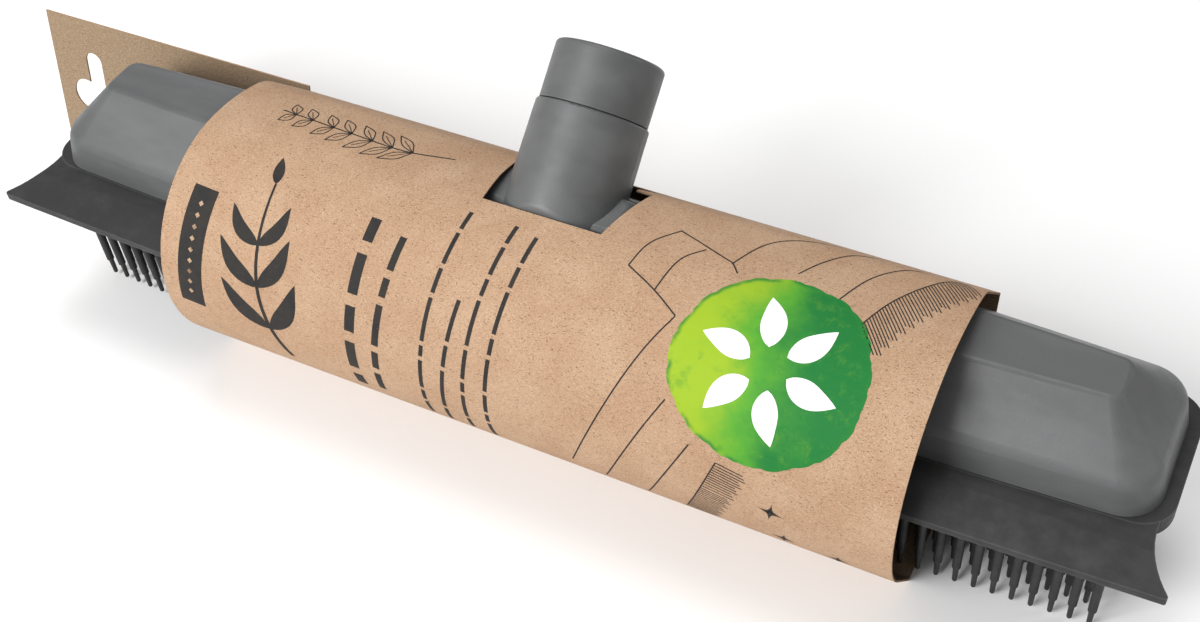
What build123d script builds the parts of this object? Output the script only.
from build123d import *
from math import acos, atan2, cos, degrees, pi, radians, sin, sqrt
import os

os.makedirs("parts", exist_ok=True)

# Millimetres. +X runs along the broom, -Y is the squeegee side, +Z is up.
# The origin is on the floor, under the middle of the housing.

# Overall sizes
LIP_LENGTH = 331.5
LIP_OVERHANG = 7.75       # how far the lip stands out past each end of the housing
HOUSING_LENGTH = LIP_LENGTH - 2 * LIP_OVERHANG
HOUSING_DEPTH = 48.0
HALF_DEPTH = HOUSING_DEPTH / 2
HOUSING_HEIGHT = 21.5
SIDE_BOW = 4.0            # how far the long sides swell in the middle
HOUSING_WALL = 2.5
CUT_OVERRUN = 1.0         # how far a cut runs on past the face it opens
LEVEL_TOLERANCE = 0.01

# Housing shape above its base
SHOULDER_HEIGHT = 8.5
SHOULDER_INSET = 1.6
RIDGE_INSET = 14.5
BASE_CORNER = 10.0
SHOULDER_CORNER = 9.0
RIDGE_CORNER = 3.0
SHOULDER_ROUND = 5.0
RIDGE_ROUND = 1.8
CAVITY_SHOULDER_SHARE = 0.1    # how far the cavity's edges move with the wall's thickness
CAVITY_RIDGE_SHARE = 0.5
CAVITY_CORNER_SHARE = 0.5
CAVITY_DROP_SHARE = 0.4

# Sole, lip and bristles
SOLE_THICKNESS = 5.0
SOLE_MARGIN = 3.2
SOLE_CORNER = 9.0
SOLE_SIDE_MARGIN = 0.5
LIP_REACH = 15.0
LIP_DROP = 2.4
LIP_TIP_THICKNESS = 1.5
LIP_MIDDLE_THICKNESS = 3.4
LIP_FLARE = 7.0
LIP_BOW = 2.6
LIP_LAP = 6.0
LIP_HEEL = 5.0
LIP_HEEL_SLOPE = 0.3      # fall of the lip's underside where it meets the sole
LIP_CORNER = 0.6
BRISTLE_LENGTH = 36.5
BRISTLE_ROOT_R = 1.35
BRISTLE_SHOULDER_R = 1.1
BRISTLE_NIB_R = 0.75
BRISTLE_TIP_R = 0.65
BRISTLE_NIB_LENGTH = 6.0
BRISTLE_NIB_STEP = 0.4
BRISTLE_PITCH = 4.7
BRISTLE_ROWS = 7
FRONT_ROW_OUT = 2.0       # the front row stands under the lip, ahead of the housing
REAR_ROW_IN = 8.6         # the rear row stands in from the housing's rear side
ROW_SPACING = (HOUSING_DEPTH + FRONT_ROW_OUT - REAR_ROW_IN) / (BRISTLE_ROWS - 1)

# Carrier plate, and the screws that hold it
CARRIER_THICKNESS = 3.0
FIT_GAP = 0.3
SCREW_ROW_HALF = HOUSING_LENGTH / 2 - 22.0
SCREW_PITCH = 44.0
SCREW_PAIRS = 3
RIB_THICKNESS = 2.0
SCREW_R = 1.5
SCREW_LENGTH = 11.0
PILOT_GAP = 0.1
CLEARANCE_GAP = 0.2
BOSS_R = SCREW_R + 2.5
WASHER_R = SCREW_R + 2.5
WASHER_THICKNESS = 0.8
SCREW_HEAD_R = SCREW_R + 1.5
SCREW_HEAD_HEIGHT = 1.9
SCREW_HEAD_TAPER = 12.0
SCREW_RECESS = 1.2
SCREW_SLOT = 0.8
POCKET_R = WASHER_R + 0.6
POCKET_KEEPOUT = 1.0

# Handle socket and adapter, measured along the socket's axis
SOCKET_TILT = 49.5
SOCKET_CROSSING = HOUSING_HEIGHT - 3.7    # above the housing base, where the axis meets the middle plane
ADAPTER_R = 13.0
RUNNING_GAP = 0.05
ADAPTER_END_GAP = 0.5
LUG_HEIGHT = 1.1
LUG_WIDTH = 5.0
LUG_THICKNESS = 3.0
LUG_PLACE = 9.0           # above the adapter's inner end
LUG_GAP = 0.3
LUG_PLAY_ANGLE = 2.0      # on each side of a lug, in degrees
GROOVE_R = ADAPTER_R + LUG_HEIGHT + LUG_GAP
LOCK_TURN = 90.0
SOCKET_R = GROOVE_R + 1.2
SOCKET_END_R = SOCKET_R - 0.5
SOCKET_END = 27.6
SOCKET_FLOOR = 3.6
SOCKET_FLOOR_THICKNESS = 3.0
SOCKET_FRONT_Y = -10.2
SOCKET_FRONT_ROUND = 3.0
SOCKET_TAIL = 14.0
SOCKET_SKIRT = 6.0        # height above the base where the tube ends inside the housing
SOCKET_CORE_STEP = 0.4
SEAM_ROUND = 0.6
FOOT_HEIGHT = 3.4         # low swelling of the ridge round the tube
FOOT_SPREAD = 9.0
FOOT_SLOPE = 7.0
COLLAR_R = ADAPTER_R + 1.5
COLLAR_LENGTH = 15.6
COLLAR_ROUND = 1.3
SEAM_GAP = 0.3
HANDLE_BORE_R = ADAPTER_R - 2.0
HANDLE_BORE_DEPTH = 34.0
HANDLE_GUIDE_R = HANDLE_BORE_R + 0.3
HANDLE_GUIDE_DEPTH = 9.0
BORE_CHAMFER = 0.8
THREAD_START = 3.0        # above the floor of the bore
THREAD_PITCH = 5.0
THREAD_HEIGHT = 0.9
THREAD_TURNS = 4
THREAD_ROOT = 0.2         # how far the thread is let into the wall

# Card sleeve
CARD = 0.5
TIP_GAP = 0.5
SLEEVE_LEFT = -99.8
SLEEVE_RIGHT = 107.3
TAB_END = -201.0
TAB_RISE = 1.8            # how far the tab stands above the fold
WINDOW_GAP = 0.8
WINDOW_FRONT_Y = SOCKET_FRONT_Y - 0.4
WINDOW_FRONT_RIGHT = SOCKET_R + 2.2
WINDOW_STEP_RIGHT = SOCKET_R + 5.6
WINDOW_REAR_GAP = 2.0
SLOT_X = -184.5
SLOT_WIDTH = 6.2
SLOT_LENGTH = 32.0
SLOT_LOBE_R = 5.4
SLOT_LOBE_OFFSET = 5.0

# Section of the sleeve's wrap, in the plane across the broom
FOOT_R = 5.0
FOOT_GAP = 1.9            # between the front row's line and the front fold
REAR_GAP = 2.7            # between the rear row's line and the bottom fold
NOSE_GAP = 7.0            # in front of the lip
NOSE_SHARE = 0.547        # radius of the round front, as a share of the ridge's height
CROWN_GAP = 0.3
CROWN_TURN = 19.5
CROWN_END_IN = 0.8        # the roof runs out this far before the ridge does
SHOULDER_R = 14.0
TOP_FOLD_OUT = 4.24       # behind the housing
TOP_FOLD_SHARE = 1 / 3    # height of the top fold, as a share of the housing's

# Stack of heights
TIP_Z = CARD + TIP_GAP
ROOT_Z = TIP_Z + BRISTLE_LENGTH
BASE_Z = ROOT_Z + SOLE_THICKNESS
CARRIER_TOP_Z = BASE_Z + CARRIER_THICKNESS
RIDGE_Z = BASE_Z + HOUSING_HEIGHT

# Sizes of the wrap that follow from what it goes round
NOSE_R = NOSE_SHARE * RIDGE_Z
CROWN_Y = NOSE_R - HALF_DEPTH - LIP_REACH - NOSE_GAP
CROWN_R = (HALF_DEPTH - RIDGE_INSET - CROWN_END_IN - CROWN_Y) / sin(radians(CROWN_TURN))
FOOT_REAR_Y = HALF_DEPTH - RIDGE_INSET - FOOT_SLOPE / 2
CROWN_FALL = CROWN_R - sqrt(CROWN_R ** 2 - (FOOT_REAR_Y - CROWN_Y) ** 2)
CROWN_Z = RIDGE_Z + FOOT_HEIGHT + CROWN_FALL + CARD + CROWN_GAP

tilt = radians(SOCKET_TILT)
socket_plane = Plane(
    origin=(0, 0, BASE_Z + SOCKET_CROSSING),
    x_dir=(1, 0, 0),
    z_dir=(0, sin(tilt), cos(tilt)),
)
screw_places = [SCREW_ROW_HALF - SCREW_PITCH * pair for pair in range(SCREW_PAIRS)]
screw_spots = [(side * x, 0) for x in screw_places for side in (-1, 1)]
rib_spots = [(side * (x - SCREW_PITCH / 2), 0) for x in screw_places for side in (-1, 1)]


def bow_at(x):
    """How far a bowed long side has come in at a distance x from the middle."""
    return SIDE_BOW * (2 * x / HOUSING_LENGTH) ** 2


def plan_outline(length, depth, corner):
    """Closed plan outline with swelling long sides and rounded corners."""
    half, side = length / 2, depth / 2
    end_side = side - bow_at(half)
    with BuildSketch() as outline:
        with BuildLine():
            ThreePointArc((-half, -end_side), (0, -side), (half, -end_side))
            Line((half, -end_side), (half, end_side))
            ThreePointArc((half, end_side), (0, side), (-half, end_side))
            Line((-half, end_side), (-half, -end_side))
        make_face()
        fillet(outline.vertices(), radius=corner)
    return outline.sketch


def loaf(inset, drop):
    """Hip-roofed block of the housing, shrunk by inset all round and by drop at the top."""
    length, depth = HOUSING_LENGTH - 2 * inset, HOUSING_DEPTH - 2 * inset
    shoulder = SHOULDER_INSET + CAVITY_SHOULDER_SHARE * inset
    ridge = RIDGE_INSET - CAVITY_RIDGE_SHARE * inset
    tighter = CAVITY_CORNER_SHARE * inset
    base = plan_outline(length, depth, BASE_CORNER - tighter)
    upper = plan_outline(length - 2 * shoulder, depth - 2 * shoulder, SHOULDER_CORNER - tighter)
    roof = plan_outline(length - 2 * ridge, depth - 2 * ridge, RIDGE_CORNER)
    shoulder_z = BASE_Z + SHOULDER_HEIGHT - CAVITY_DROP_SHARE * drop
    with BuildPart() as block:
        with BuildSketch(Plane.XY.offset(BASE_Z)):
            add(base)
        with BuildSketch(Plane.XY.offset(shoulder_z)):
            add(upper)
        loft(ruled=True)
        with BuildSketch(Plane.XY.offset(shoulder_z)):
            add(upper)
        with BuildSketch(Plane.XY.offset(BASE_Z + HOUSING_HEIGHT - drop)):
            add(roof)
        loft(ruled=True)
    return block.part


def level_edges(block, height):
    """Edges of a block that lie level at the given height."""
    low, high = height - LEVEL_TOLERANCE, height + LEVEL_TOLERANCE
    return [
        edge
        for edge in block.edges().filter_by_position(Axis.Z, low, high)
        if edge.bounding_box().size.Z < LEVEL_TOLERANCE
    ]


def ring_sector(inner, outer, low, high, start, arc):
    """Part of a ring round the socket axis, from the start angle through arc degrees."""
    across = socket_plane.x_dir * cos(radians(start)) + socket_plane.y_dir * sin(radians(start))
    cut_plane = Plane(socket_plane.origin, x_dir=across, z_dir=across.cross(socket_plane.z_dir))
    with BuildPart() as sector:
        with BuildSketch(cut_plane):
            with Locations(((inner + outer) / 2, (low + high) / 2)):
                Rectangle(outer - inner, high - low)
        revolve(axis=socket_axis, revolution_arc=arc)
    return sector.part


def socket_cylinder(radius, low, high):
    """Cylinder on the socket's axis between two places along it."""
    with BuildPart() as cylinder:
        with BuildSketch(socket_plane.offset(low)):
            Circle(radius)
        extrude(amount=high - low)
    return cylinder.part


# Places along the socket's axis
socket_axis = Axis(socket_plane.origin, socket_plane.z_dir)
ADAPTER_START = SOCKET_FLOOR + ADAPTER_END_GAP
COLLAR_START = SOCKET_END + SEAM_GAP
COLLAR_END = COLLAR_START + COLLAR_LENGTH
LUG_START = ADAPTER_START + LUG_PLACE
LUG_HALF_ANGLE = 180 / pi * LUG_WIDTH / (2 * ADAPTER_R)
GROOVE_HALF_ANGLE = LUG_HALF_ANGLE + LUG_PLAY_ANGLE

# Housing: hollow body with ribs, screw bosses and the tilted socket
cavity_block = loaf(HOUSING_WALL, HOUSING_WALL)

with BuildPart() as outside:
    add(loaf(0, 0))
    fillet(level_edges(outside, BASE_Z + HOUSING_HEIGHT), radius=RIDGE_ROUND)
    fillet(level_edges(outside, BASE_Z + SHOULDER_HEIGHT), radius=SHOULDER_ROUND)

with BuildPart() as socket_tube:
    with BuildSketch(socket_plane.offset(-SOCKET_TAIL)):
        Circle(SOCKET_R)
    with BuildSketch(socket_plane.offset(SOCKET_END)):
        Circle(SOCKET_END_R)
    loft()
    fillet(socket_tube.edges().sort_by(socket_axis)[-1], radius=SEAM_ROUND)
    split(bisect_by=Plane.XY.offset(BASE_Z + SOCKET_SKIRT), keep=Keep.TOP)
    split(bisect_by=Plane.XZ.offset(-SOCKET_FRONT_Y), keep=Keep.BOTTOM)
    front_face = socket_tube.faces().sort_by(Axis.Y)[0]
    fillet(front_face.edges().sort_by(Axis.Z)[-1], radius=SOCKET_FRONT_ROUND)

with BuildPart() as socket_foot:
    with BuildSketch(Plane.XY.offset(RIDGE_Z - RIDGE_ROUND)) as foot_base:
        Rectangle(2 * (SOCKET_R + FOOT_SPREAD), HOUSING_DEPTH - 2 * RIDGE_INSET)
        fillet(foot_base.vertices(), radius=RIDGE_CORNER)
    with BuildSketch(Plane.XY.offset(RIDGE_Z + FOOT_HEIGHT)) as foot_top:
        Rectangle(2 * (SOCKET_R + FOOT_SPREAD - FOOT_SLOPE), HOUSING_DEPTH - 2 * RIDGE_INSET - FOOT_SLOPE)
        fillet(foot_top.vertices(), radius=RIDGE_CORNER)
    loft()
    fillet(socket_foot.faces().sort_by(Axis.Z)[-1].edges(), radius=RIDGE_ROUND)

with BuildPart() as socket_core:
    add(socket_cylinder(ADAPTER_R - SOCKET_CORE_STEP, -SOCKET_TAIL, SOCKET_FLOOR - SOCKET_FLOOR_THICKNESS))
    add(cavity_block, mode=Mode.INTERSECT)

with BuildPart() as stiffeners:
    with BuildSketch(Plane.XY.offset(CARRIER_TOP_Z)):
        with Locations(*screw_spots):
            Circle(BOSS_R)
    extrude(amount=HOUSING_HEIGHT)
    with BuildSketch(Plane.XY.offset(CARRIER_TOP_Z + FIT_GAP)):
        with Locations(*rib_spots):
            Rectangle(RIB_THICKNESS, HOUSING_DEPTH)
    extrude(amount=HOUSING_HEIGHT)
    add(cavity_block, mode=Mode.INTERSECT)

with BuildPart() as housing:
    add(outside.part)
    add(cavity_block, mode=Mode.SUBTRACT)
    add(stiffeners.part)
    add(socket_foot.part)
    add(socket_tube.part)
    add(socket_core.part, mode=Mode.SUBTRACT)
    add(socket_cylinder(ADAPTER_R + RUNNING_GAP, SOCKET_FLOOR, SOCKET_END + CUT_OVERRUN), mode=Mode.SUBTRACT)
    for side in (0, 180):
        add(
            ring_sector(
                ADAPTER_R - CUT_OVERRUN,
                GROOVE_R,
                LUG_START - LUG_GAP,
                LUG_START + LUG_THICKNESS + LUG_GAP,
                side - GROOVE_HALF_ANGLE,
                LOCK_TURN + 2 * GROOVE_HALF_ANGLE,
            ),
            mode=Mode.SUBTRACT,
        )
        add(
            ring_sector(
                ADAPTER_R - CUT_OVERRUN,
                GROOVE_R,
                LUG_START,
                SOCKET_END + CUT_OVERRUN,
                side + LOCK_TURN - GROOVE_HALF_ANGLE,
                2 * GROOVE_HALF_ANGLE,
            ),
            mode=Mode.SUBTRACT,
        )
    with BuildSketch(Plane.XY.offset(CARRIER_TOP_Z)):
        with Locations(*screw_spots):
            Circle(SCREW_R + PILOT_GAP)
    extrude(amount=SCREW_LENGTH - CARRIER_THICKNESS, mode=Mode.SUBTRACT)
housing.part.label = "housing"
export_step(housing.part, "parts/housing.step")

# Handle adapter: barrel with two locking lugs, collar, and a coarse thread for the handle
with BuildPart() as handle_adapter:
    add(socket_cylinder(ADAPTER_R, ADAPTER_START, COLLAR_START))
    add(socket_cylinder(COLLAR_R, COLLAR_START, COLLAR_END))
    fillet(handle_adapter.edges().filter_by(GeomType.CIRCLE).sort_by(socket_axis)[-1], radius=COLLAR_ROUND)
    add(socket_cylinder(HANDLE_BORE_R, COLLAR_END - HANDLE_BORE_DEPTH, COLLAR_END), mode=Mode.SUBTRACT)
    add(socket_cylinder(HANDLE_GUIDE_R, COLLAR_END - HANDLE_GUIDE_DEPTH, COLLAR_END), mode=Mode.SUBTRACT)
    rims = handle_adapter.edges().filter_by(GeomType.CIRCLE).group_by(socket_axis)[-1]
    chamfer(rims.sort_by(SortBy.RADIUS)[0], BORE_CHAMFER)
    for side in (0, 180):
        add(
            ring_sector(
                ADAPTER_R - CUT_OVERRUN,
                ADAPTER_R + LUG_HEIGHT,
                LUG_START,
                LUG_START + LUG_THICKNESS,
                side - LUG_HALF_ANGLE,
                2 * LUG_HALF_ANGLE,
            )
        )
    with BuildLine() as thread_line:
        Helix(
            THREAD_PITCH,
            THREAD_TURNS * THREAD_PITCH,
            HANDLE_BORE_R + THREAD_ROOT,
            center=socket_plane.offset(COLLAR_END - HANDLE_BORE_DEPTH + THREAD_START).origin,
            direction=socket_plane.z_dir,
        )
    thread_start = thread_line.line @ 0
    thread_out = thread_start - socket_plane.origin
    thread_out -= socket_plane.z_dir * thread_out.dot(socket_plane.z_dir)
    with BuildSketch(Plane(thread_start, x_dir=thread_out, z_dir=thread_line.line % 0)):
        with BuildLine():
            Polyline(
                (0, -THREAD_HEIGHT),
                (0, THREAD_HEIGHT),
                (-THREAD_HEIGHT - THREAD_ROOT, THREAD_HEIGHT / 3),
                (-THREAD_HEIGHT - THREAD_ROOT, -THREAD_HEIGHT / 3),
                close=True,
            )
        make_face()
    sweep(path=thread_line.line, is_frenet=True)
handle_adapter.part.label = "handle_adapter"
export_step(handle_adapter.part, "parts/handle_adapter.step")

# Carrier plate: closes the housing and holds the rubber
carrier_inset = HOUSING_WALL + SHOULDER_INSET * CARRIER_THICKNESS / (SHOULDER_HEIGHT - HOUSING_WALL) + FIT_GAP
carrier_outline = plan_outline(
    HOUSING_LENGTH - 2 * carrier_inset, HOUSING_DEPTH - 2 * carrier_inset, BASE_CORNER - carrier_inset / 2
)
with BuildPart() as carrier_plate:
    with BuildSketch(Plane.XY.offset(BASE_Z)):
        add(carrier_outline)
        with Locations(*screw_spots):
            Circle(SCREW_R + CLEARANCE_GAP, mode=Mode.SUBTRACT)
    extrude(amount=CARRIER_THICKNESS)
carrier_plate.part.label = "carrier_plate"
export_step(carrier_plate.part, "parts/carrier_plate.step")

# Sole pad: rubber sheet with a pocket round each screw
pad_outline = plan_outline(
    HOUSING_LENGTH + 2 * SOLE_MARGIN, HOUSING_DEPTH + 2 * SOLE_SIDE_MARGIN, SOLE_CORNER
)
with BuildPart() as sole_pad:
    with BuildSketch(Plane.XY.offset(ROOT_Z)):
        add(pad_outline)
        with Locations(*screw_spots):
            Circle(POCKET_R, mode=Mode.SUBTRACT)
    extrude(amount=SOLE_THICKNESS)
sole_pad.part.label = "sole_pad"
export_step(sole_pad.part, "parts/sole_pad.step")

# Squeegee lip: tapering blade along the front, flared at both ends
tip_y = -HALF_DEPTH - LIP_REACH
end_tip_y = tip_y + LIP_BOW
root_x = LIP_LENGTH / 2 - LIP_FLARE
with BuildPart() as squeegee_lip:
    with BuildSketch(Plane.YZ.offset(-LIP_LENGTH / 2)):
        with BuildLine():
            Spline(
                (-HALF_DEPTH + LIP_LAP, BASE_Z),
                (-HALF_DEPTH - LIP_REACH / 2, BASE_Z - LIP_DROP / 4),
                (tip_y, BASE_Z - LIP_DROP),
            )
            Line((tip_y, BASE_Z - LIP_DROP), (tip_y, BASE_Z - LIP_DROP - LIP_TIP_THICKNESS))
            Spline(
                (tip_y, BASE_Z - LIP_DROP - LIP_TIP_THICKNESS),
                (-HALF_DEPTH - LIP_REACH / 2, BASE_Z - LIP_DROP / 4 - LIP_MIDDLE_THICKNESS),
                (-HALF_DEPTH - LIP_HEEL, ROOT_Z),
                tangents=((1, 0), (1, -LIP_HEEL_SLOPE)),
            )
            Line((-HALF_DEPTH - LIP_HEEL, ROOT_Z), (-HALF_DEPTH + LIP_LAP, ROOT_Z))
            Line((-HALF_DEPTH + LIP_LAP, ROOT_Z), (-HALF_DEPTH + LIP_LAP, BASE_Z))
        make_face()
    extrude(amount=LIP_LENGTH)
    with BuildSketch(Plane.XY.offset(ROOT_Z)) as lip_plan:
        with BuildLine():
            ThreePointArc((-LIP_LENGTH / 2, end_tip_y), (0, tip_y), (LIP_LENGTH / 2, end_tip_y))
            for side in (-1, 1):
                Spline(
                    (side * LIP_LENGTH / 2, end_tip_y),
                    (side * (root_x + LIP_FLARE / 3), (end_tip_y - HALF_DEPTH) / 2),
                    (side * root_x, -HALF_DEPTH + LIP_LAP),
                )
            Line((-root_x, -HALF_DEPTH + LIP_LAP), (root_x, -HALF_DEPTH + LIP_LAP))
        make_face()
        fillet(lip_plan.vertices().group_by(Axis.Y)[0], radius=LIP_CORNER)
        add(pad_outline, mode=Mode.SUBTRACT)
    extrude(amount=SOLE_THICKNESS, mode=Mode.INTERSECT)
squeegee_lip.part.label = "squeegee_lip"
export_step(squeegee_lip.part, "parts/squeegee_lip.step")

# Bristles: tapered rubber fingers with a thinner nib, in staggered rows
with BuildPart() as bristle:
    with BuildSketch(Plane.XZ):
        with BuildLine():
            shoulder_z = BRISTLE_NIB_LENGTH - BRISTLE_LENGTH
            Line((0, 0), (BRISTLE_ROOT_R, 0))
            Line((BRISTLE_ROOT_R, 0), (BRISTLE_SHOULDER_R, shoulder_z))
            nib_top = (BRISTLE_NIB_R, shoulder_z - BRISTLE_NIB_STEP)
            nib_end = (BRISTLE_TIP_R, BRISTLE_TIP_R - BRISTLE_LENGTH)
            Line((BRISTLE_SHOULDER_R, shoulder_z), nib_top)
            Line(nib_top, nib_end)
            RadiusArc(nib_end, (0, -BRISTLE_LENGTH), BRISTLE_TIP_R)
            Line((0, -BRISTLE_LENGTH), (0, 0))
        make_face()
    revolve(axis=Axis.Z)

row_half = HOUSING_LENGTH / 2 + SOLE_MARGIN - SOLE_CORNER
for row in range(BRISTLE_ROWS):
    share = 1 - 2 * row / (BRISTLE_ROWS - 1)
    stagger = BRISTLE_PITCH / 2 * (row % 2)
    count = int((row_half - stagger) / BRISTLE_PITCH)
    columns = [stagger + BRISTLE_PITCH * n for n in range(-count - row % 2, count + 1)]
    spots = []
    for x in columns:
        y = ROW_SPACING * row - HALF_DEPTH - FRONT_ROW_OUT + share * bow_at(x)
        nearest = min(abs(complex(x - screw_x, y)) for screw_x, _ in screw_spots)
        if nearest > POCKET_R + BRISTLE_ROOT_R + POCKET_KEEPOUT:
            spots.append((x, y, ROOT_Z))
    with BuildPart() as bristle_row:
        with Locations(*spots):
            add(bristle.part, clean=False)
    name = f"bristle_row_{row + 1}"
    bristle_row.part.label = name
    export_step(bristle_row.part, f"parts/{name}.step")

# Screws from below, with a washer under each head
head_z = BASE_Z - WASHER_THICKNESS
with BuildPart() as sole_screws:
    with BuildSketch(Plane.XY.offset(head_z)):
        with Locations(*screw_spots):
            Circle(SCREW_R)
    extrude(amount=SCREW_LENGTH)
    with BuildSketch(Plane.XY.offset(head_z)):
        with Locations(*screw_spots):
            Circle(SCREW_HEAD_R)
    extrude(amount=-SCREW_HEAD_HEIGHT, taper=SCREW_HEAD_TAPER)
    with BuildSketch(Plane.XY.offset(head_z - SCREW_HEAD_HEIGHT)):
        with Locations(*screw_spots):
            Rectangle(SCREW_HEAD_R, SCREW_SLOT)
            Rectangle(SCREW_SLOT, SCREW_HEAD_R)
    extrude(amount=SCREW_RECESS, mode=Mode.SUBTRACT)
sole_screws.part.label = "sole_screws"
export_step(sole_screws.part, "parts/sole_screws.step")

with BuildPart() as screw_washers:
    with BuildSketch(Plane.XY.offset(head_z)):
        with Locations(*screw_spots):
            Circle(WASHER_R)
            Circle(SCREW_R + CLEARANCE_GAP, mode=Mode.SUBTRACT)
    extrude(amount=WASHER_THICKNESS)
screw_washers.part.label = "screw_washers"
export_step(screw_washers.part, "parts/screw_washers.step")

# Card sleeve: one folded blank, wrapped round the broom, with its back panel drawn out as a hang tab
crown = Vector(CROWN_Y, CROWN_Z)
foot = Vector(-HALF_DEPTH - FRONT_ROW_OUT - FOOT_GAP, 0)
bottom_fold = Vector(HALF_DEPTH - REAR_ROW_IN + REAR_GAP, 0)
top_fold = Vector(HALF_DEPTH + TOP_FOLD_OUT, BASE_Z + TOP_FOLD_SHARE * HOUSING_HEIGHT)


def turn_towards(start, heading, radius, goal):
    """Degrees an arc turns, from start and heading, before it points straight at the goal."""
    side = radius / abs(radius)
    centre = start + Vector(-heading.Y, heading.X) * radius
    out = goal - centre
    tangent = atan2(out.Y, out.X) - side * acos(abs(radius) / out.length)
    first = atan2((start - centre).Y, (start - centre).X)
    return side * degrees((side * (tangent - first)) % (2 * pi))


with BuildLine() as front_line:
    nose = JernArc(crown, (-1, 0), NOSE_R, turn_towards(crown, Vector(-1, 0), NOSE_R, foot))
    Line(nose @ 1, foot)
with BuildLine() as rear_line:
    roof = JernArc(crown, (1, 0), CROWN_R, -CROWN_TURN)
    bend = turn_towards(roof @ 1, roof % 1, -SHOULDER_R, top_fold)
    shoulder = JernArc(roof @ 1, roof % 1, SHOULDER_R, bend)
    Line(shoulder @ 1, top_fold)
panel_up = (top_fold - bottom_fold).normalized()
panel_inward = Vector(-panel_up.Y, panel_up.X) * CARD
panel_middle = (top_fold + bottom_fold) / 2
panel_plane = Plane(
    origin=(SLOT_X, panel_middle.X, panel_middle.Y),
    x_dir=(1, 0, 0),
    z_dir=(0, panel_up.Y, -panel_up.X),
)
with BuildPart() as card_sleeve:
    with BuildSketch(Plane.YZ.offset(SLEEVE_LEFT)) as section:
        with BuildLine():
            add(front_line.line)
            add(rear_line.line)
            Polyline(foot, bottom_fold, top_fold)
        make_face()
        fillet(section.vertices().sort_by_distance((SLEEVE_LEFT, foot.X, foot.Y))[0], radius=FOOT_R)
        offset(amount=-CARD, kind=Kind.INTERSECTION, mode=Mode.SUBTRACT)
    extrude(amount=SLEEVE_RIGHT - SLEEVE_LEFT)
    with BuildSketch(Plane.YZ.offset(TAB_END)):
        with BuildLine():
            tab_top = top_fold + panel_up * TAB_RISE
            Polyline(bottom_fold, tab_top, tab_top + panel_inward, bottom_fold + panel_inward, close=True)
        make_face()
    extrude(amount=SLEEVE_LEFT - TAB_END)
    with BuildSketch(panel_plane):
        SlotOverall(SLOT_LENGTH, SLOT_WIDTH, rotation=90)
        with Locations((-SLOT_LOBE_OFFSET, 0)):
            Circle(SLOT_LOBE_R)
    extrude(amount=2 * CARD, both=True, mode=Mode.SUBTRACT)
    tube_rear = Vector(SOCKET_R * cos(tilt), BASE_Z + SOCKET_CROSSING - SOCKET_R * sin(tilt))
    tube_run = Vector(sin(tilt), cos(tilt))
    reach = (top_fold - tube_rear).cross(shoulder % 1).Z / tube_run.cross(shoulder % 1).Z
    window_rear = (tube_rear + tube_run * reach).X + WINDOW_REAR_GAP
    with BuildSketch(Plane.XY.offset(BASE_Z)):
        with BuildLine():
            Polyline(
                (-SOCKET_R, WINDOW_FRONT_Y),
                (WINDOW_FRONT_RIGHT, WINDOW_FRONT_Y),
                (WINDOW_STEP_RIGHT, window_rear / 2),
                (SOCKET_R + WINDOW_GAP, window_rear / 2),
                (SOCKET_R + WINDOW_GAP, window_rear),
                (-SOCKET_R - WINDOW_GAP, window_rear),
                (-SOCKET_R - WINDOW_GAP, 0),
                close=True,
            )
        make_face()
    extrude(amount=2 * HOUSING_HEIGHT, mode=Mode.SUBTRACT)
card_sleeve.part.label = "card_sleeve"
export_step(card_sleeve.part, "parts/card_sleeve.step")
